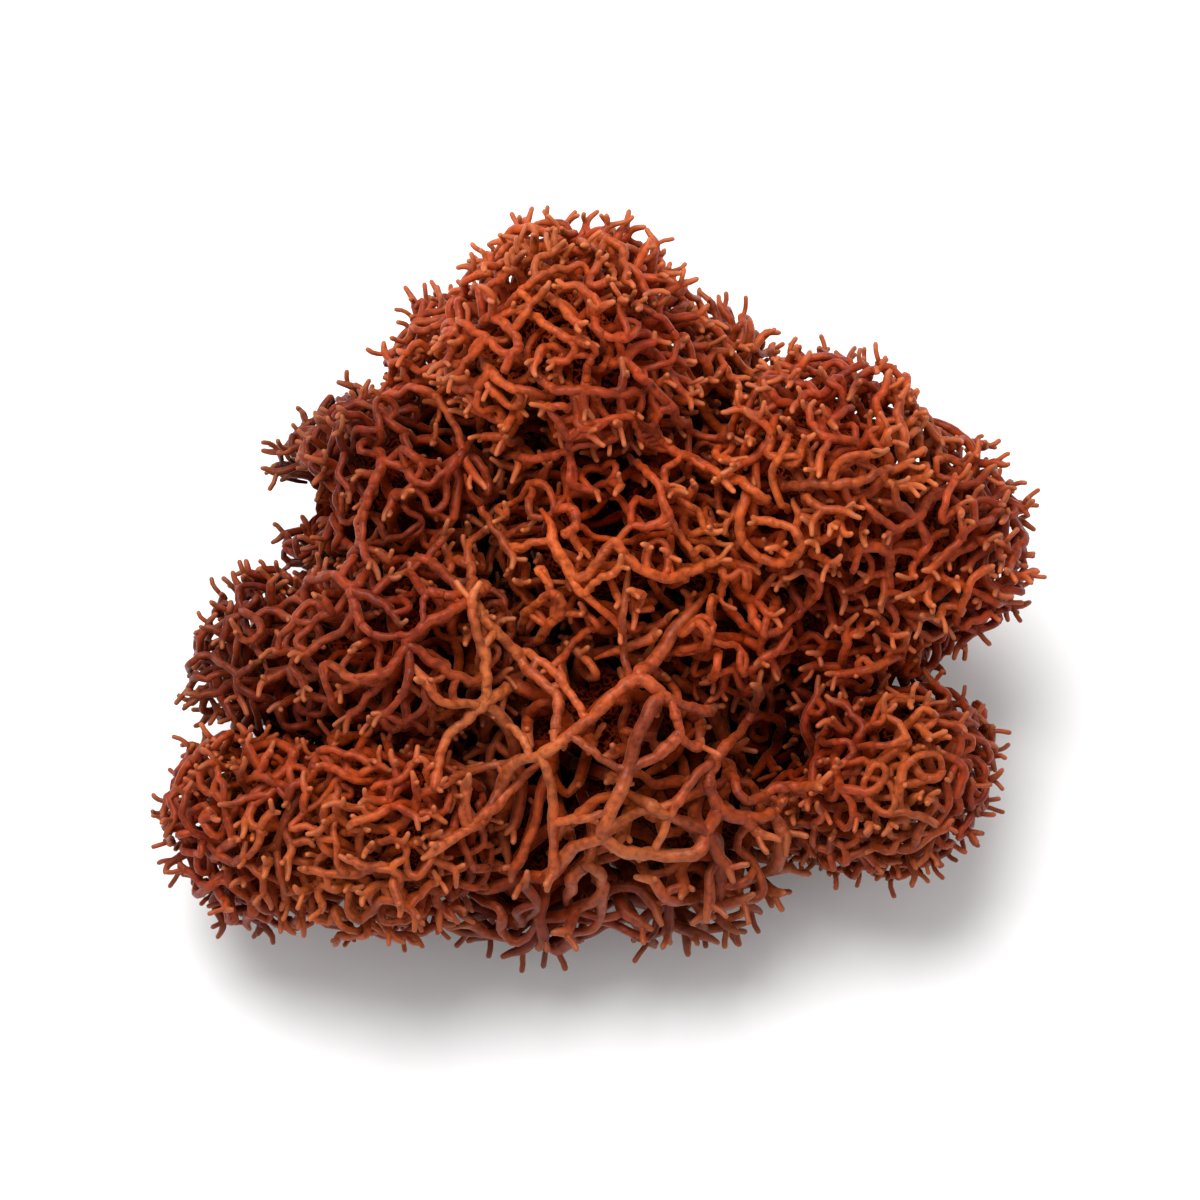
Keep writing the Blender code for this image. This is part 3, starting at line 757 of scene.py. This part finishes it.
# Each curve goes through places across and up, and lies this high on the form.
LAID_LIFT = 0.7
LAID_CURVES = {
    "head_back": (
        ((-7.9, 19.5), (-7.2, 20.3), (-5.8, 19.5), (-4.9, 18.3), (-5.4, 17.4), (-6.7, 17.9), (-7.5, 18.9)),
        ((-4.4, 20.5), (-2.9, 19.7), (-1.5, 18.8), (0.1, 18.1)),
        ((-2.9, 21.9), (-1.7, 21.0), (-0.6, 19.8)),
        ((-5.1, 21.9), (-4.1, 22.8), (-2.7, 23.6)),
        ((0.6, 20.4), (0.9, 19.2), (2.1, 18.6), (3.7, 18.8)),
        ((1.8, 16.7), (3.2, 16.9), (4.2, 15.7), (4.9, 15.2)),
        ((0.1, 15.4), (0.2, 16.6), (0.8, 17.6)),
        ((-7.5, 16.9), (-6.3, 15.2), (-4.6, 14.7)),
        ((-4.2, 16.9), (-3.2, 15.5), (-2.2, 14.7), (0.2, 14.7), (3.2, 14.5)),
        ((3.7, 21.0), (4.7, 20.9), (6.4, 19.7), (7.0, 18.6)),
        ((-14.7, 14.6), (-11.8, 14.9), (-9.9, 12.2), (-8.6, 8.6)),
    ),
    "head_right": (
        ((12.6, 7.4), (11.7, 4.7), (12.6, 2.5), (15.0, 1.6), (16.5, 2.8), (15.6, 4.4), (13.4, 4.9)),
        ((15.1, 7.4), (17.7, 7.7), (20.2, 7.6), (22.8, 8.8)),
        ((24.3, 13.9), (26.3, 12.5), (27.1, 10.5)),
        ((26.6, 7.3), (25.1, 5.0), (23.1, 3.9)),
        ((20.2, 2.2), (21.4, 3.0), (23.1, 2.4), (23.1, 1.0), (21.7, 0.7)),
        ((12.8, -2.1), (13.9, -3.9), (16.5, -1.9), (17.9, -0.4)),
    ),
    "head_middle": (
        ((-3.6, 14.2), (-1.9, 12.2), (-1.1, 10.5), (-1.0, 7.9)),
        ((-5.6, 9.9), (-3.3, 9.6), (-1.1, 10.2), (2.2, 11.0)),
        ((-0.7, 13.4), (0.2, 11.6), (3.3, 13.1), (4.2, 11.3), (5.0, 10.5)),
        ((5.0, 11.9), (5.6, 13.1), (6.8, 13.4), (7.3, 12.2), (8.8, 11.3), (11.0, 11.3)),
        ((5.0, 11.9), (6.2, 10.5), (8.8, 9.3), (10.5, 8.2)),
        ((-6.7, 3.9), (-5.6, 2.5), (-3.6, 3.3)),
        ((-2.6, 4.9), (-1.9, 6.0), (-0.7, 5.6), (-0.6, 4.5), (-1.6, 3.9)),
        ((-2.2, 3.0), (-0.4, 0.2), (1.3, 2.4), (2.4, 3.3)),
        ((-2.5, 3.5), (-1.4, 1.5), (-0.3, -0.7), (1.0, 0.3), (2.4, 1.0)),
        ((2.7, 3.0), (3.9, 1.3), (6.5, 0.4), (8.8, 1.3)),
        ((3.6, 9.3), (5.3, 7.9), (6.4, 5.0), (8.2, 2.4)),
        ((-4.9, -4.4), (-4.8, -3.0), (-3.8, -1.5), (-2.5, -0.5)),
        ((-4.1, -4.9), (-2.8, -3.1), (-1.6, -1.8), (-2.5, -0.3), (-3.5, 1.2)),
        ((1.1, -3.0), (-0.3, -3.8), (-1.8, -5.6)),
    ),
    "head_left_back": (
        ((-15.6, 10.1), (-15.4, 8.9), (-16.1, 7.5), (-16.6, 5.9), (-17.3, 3.8), (-16.4, 1.8)),
        ((-9.1, 10.2), (-7.5, 8.4), (-7.4, 6.9)),
        ((-9.1, 10.2), (-10.3, 8.7)),
        ((-8.1, 6.4), (-7.2, 4.8), (-5.7, 2.5)),
    ),
    "head_left": (
        ((-13.1, 1.6), (-12.0, 2.0), (-10.3, 0.5), (-8.7, -1.0), (-7.5, -0.1)),
        ((-12.0, 2.0), (-10.7, 3.5)),
        ((-8.7, -1.0), (-8.5, 0.8), (-9.0, 2.8), (-7.5, 4.2)),
        ((-8.7, -1.0), (-9.7, -1.8), (-11.8, -2.8), (-13.5, -4.2)),
        ((-8.7, -1.0), (-10.7, -0.8), (-12.0, -0.7), (-12.5, -2.7)),
        ((-16.4, 1.2), (-17.5, -0.4), (-18.9, 0.8), (-21.0, 0.1)),
        ((-17.5, -0.4), (-17.4, -2.0), (-16.6, -3.4), (-15.0, -4.1), (-13.4, -3.6)),
        ((-17.5, -0.4), (-15.3, -1.5), (-14.2, -2.6)),
        ((-13.5, -4.2), (-14.6, -6.6), (-17.2, -7.2)),
        ((-13.5, -4.2), (-13.2, -7.0), (-14.2, -8.8)),
        ((-13.5, -4.2), (-11.4, -6.0), (-9.0, -7.2)),
    ),
}

for name, (spacing, hooks, berth, core_depth, dye) in HEADS.items():
    curves = LAID_CURVES.get(name, ())
    surfaces = head_surfaces(name, curves, LAID_LIFT, spacing, hooks, berth, core_depth, DENSE_HABIT)
    dress_head(name, surfaces, dyed_lichen_with_painted_light(name + "_dyed_and_painted_light", dye, DOME_GLOSS))

# The open front. Here the bunch was pulled apart, and its long smooth bare stems show, thicker than the
# branchlets: they fan out, cross each other and fork only near their ends. A duller, browner red.
OPEN = "stems_front"
OPEN_HABIT = {
    "wander": 0.4, "length_power": 1.0, "bend_cost": 1.8, "arm_length": 1.6,
    "tip_radius": 0.34, "thickest": 0.57, "fork_swell": 0.3, "curl": 0.10,
}
OPEN_SPACING = 1.5
OPEN_HOOKS = 0.15
OPEN_BERTH = 2.6
OPEN_CORE_DEPTH = 3.1
OPEN_GLOSS = 130
OPEN_DYE = ((168, 65, 31), (193, 87, 42), (207, 112, 61))
STEM_LIFT = 1.1
STEM_CURVES = (
    ((7.7, -2.5), (4.7, -6.4), (3.0, -7.6), (1.2, -9.4), (-1.1, -11.4), (-4.1, -13.3), (-7.8, -13.8),
     (-11.8, -15.8)),
    ((-8.7, -1.0), (-6.8, -3.4), (-5.2, -5.2), (-4.1, -6.6), (-2.5, -7.9), (-1.9, -9.0), (-2.2, -10.4),
     (-2.3, -11.9)),
    ((-4.9, -4.9), (-3.6, -5.6), (-1.8, -7.2), (-0.6, -9.0), (0.2, -10.2)),
    ((3.1, -0.7), (2.8, -3.6), (3.2, -6.9)),
    ((2.9, -4.9), (5.1, -4.1)),
    ((4.4, -6.9), (5.8, -8.3), (7.1, -8.9), (9.1, -9.6)),
    ((-5.4, -7.3), (-7.5, -8.9), (-10.5, -9.0), (-11.8, -7.6)),
    ((-7.5, -8.9), (-7.4, -7.0), (-7.7, -5.0), (-8.4, -3.0), (-8.6, -1.4)),
    ((-7.5, -8.9), (-8.7, -10.0), (-10.1, -11.2), (-11.0, -13.2), (-11.4, -15.2)),
    ((-7.5, -8.9), (-6.2, -10.3), (-4.9, -11.4), (-4.1, -12.9)),
    ((5.5, -8.2), (4.2, -10.9), (3.3, -13.9), (3.0, -15.2), (2.0, -17.0), (1.3, -19.1)),
    ((3.3, -13.9), (2.0, -13.7), (0.0, -12.1), (-1.0, -11.4)),
    ((3.3, -13.9), (5.2, -13.2), (7.1, -11.5), (7.1, -10.3), (6.6, -9.0)),
    ((7.1, -11.5), (8.5, -12.4)),
    ((1.3, -19.1), (-1.1, -20.2)),
    ((1.3, -19.1), (2.7, -20.2), (5.2, -20.5), (8.6, -20.5), (9.2, -18.8), (10.2, -17.2)),
    ((10.2, -17.2), (9.5, -15.4), (9.6, -14.2), (10.6, -12.2), (12.6, -10.4), (13.2, -8.2)),
    ((10.2, -17.2), (12.2, -17.8), (14.4, -17.5), (15.0, -16.6)),
    ((14.4, -17.5), (15.1, -18.6)),
    ((12.2, -17.8), (13.2, -18.8)),
    ((10.0, -13.2), (8.2, -14.8), (6.6, -17.4), (5.4, -20.3)),
    ((4.5, -16.5), (6.3, -17.5), (8.9, -18.8)),
    ((-1.0, -23.4), (-0.8, -22.0), (0.2, -21.4), (1.3, -22.1), (1.3, -23.4)),
    ((11.1, -14.2), (11.8, -15.9), (12.8, -16.4), (14.9, -15.4), (17.4, -15.4)),
    ((-3.4, -12.9), (-2.6, -15.1), (-2.4, -17.7), (-2.4, -21.6)),
    ((-2.4, -18.2), (0.6, -17.6), (2.0, -17.0)),
    ((-5.5, -13.5), (-6.7, -15.8), (-7.5, -17.9), (-9.2, -18.1), (-9.0, -15.6)),
    ((-4.6, -14.6), (-8.1, -17.9), (-11.0, -19.9)),
)
surfaces = head_surfaces(
    OPEN, STEM_CURVES, STEM_LIFT, OPEN_SPACING, OPEN_HOOKS, OPEN_BERTH, OPEN_CORE_DEPTH, OPEN_HABIT)
dress_head(OPEN, surfaces, dyed_lichen_with_painted_light(OPEN + "_dyed_and_painted_light", OPEN_DYE, OPEN_GLOSS))

# The floor is a wide sheet of matt white paper. It lies flat, and the clump rests on it by the ends of its
# stalks. It isn't part of the object.
FLOOR = 3.0
PAPER_WHITE = (0.9, 0.9, 0.9, 1)
PAPER_ROUGHNESS = 0.9
sheet = bpy.data.meshes.new("floor")
corners = [(-FLOOR, -FLOOR, 0), (FLOOR, -FLOOR, 0), (FLOOR, FLOOR, 0), (-FLOOR, FLOOR, 0)]
sheet.from_pydata(corners, [], [(0, 1, 2, 3)])
floor = bpy.data.objects.new("floor", sheet)
bpy.context.scene.collection.objects.link(floor)
white = bpy.data.materials.new("white_sheet")
white.use_nodes = True
white.node_tree.nodes["Principled BSDF"].inputs["Base Color"].default_value = PAPER_WHITE
white.node_tree.nodes["Principled BSDF"].inputs["Roughness"].default_value = PAPER_ROUGHNESS
sheet.materials.append(white)

# The light is one large soft lamp, high up on the left and a little behind the clump, and aimed at it. A
# white room all round fills its shadows.
KEY_PLACE = (-0.20, 0.36, 1.0)
KEY_SIZE = 0.8
KEY_POWER = 15
ROOM_WHITE = (1, 1, 1, 1)
ROOM_LIGHT = 0.68
lamp = bpy.data.lights.new("key", "AREA")
lamp.shape = "DISK"
lamp.size = KEY_SIZE
lamp.energy = KEY_POWER
key = bpy.data.objects.new("key", lamp)
key.location = KEY_PLACE
key.rotation_euler = Vector(KEY_PLACE).to_track_quat("Z", "Y").to_euler()
bpy.context.scene.collection.objects.link(key)
room = bpy.data.worlds.new("white_room")
room.use_nodes = True
room.node_tree.nodes["Background"].inputs["Color"].default_value = ROOM_WHITE
room.node_tree.nodes["Background"].inputs["Strength"].default_value = ROOM_LIGHT
bpy.context.scene.world = room
bpy.context.scene.view_settings.view_transform = "Standard"

# The camera looks down steeply on the clump, from the side that the hollows and the stems are placed from.
# It stands far off with a long lens, and a view of VIEW_WIDTH takes in the clump and little more.
DISTANCE = 1.2
VIEW_WIDTH = 0.092
AIM = (0, 0, 0.016)
SENSOR_WIDTH = 36
FARTHEST = 10
lens = bpy.data.cameras.new("camera")
lens.sensor_width = SENSOR_WIDTH
lens.lens = lens.sensor_width * DISTANCE / VIEW_WIDTH
lens.clip_end = FARTHEST
camera = bpy.data.objects.new("camera", lens)
camera.location = Vector(AIM) + Vector(TOWARDS_VIEW) * DISTANCE
camera.rotation_euler = Vector(TOWARDS_VIEW).to_track_quat("Z", "Y").to_euler()
bpy.context.scene.collection.objects.link(camera)
bpy.context.scene.camera = camera
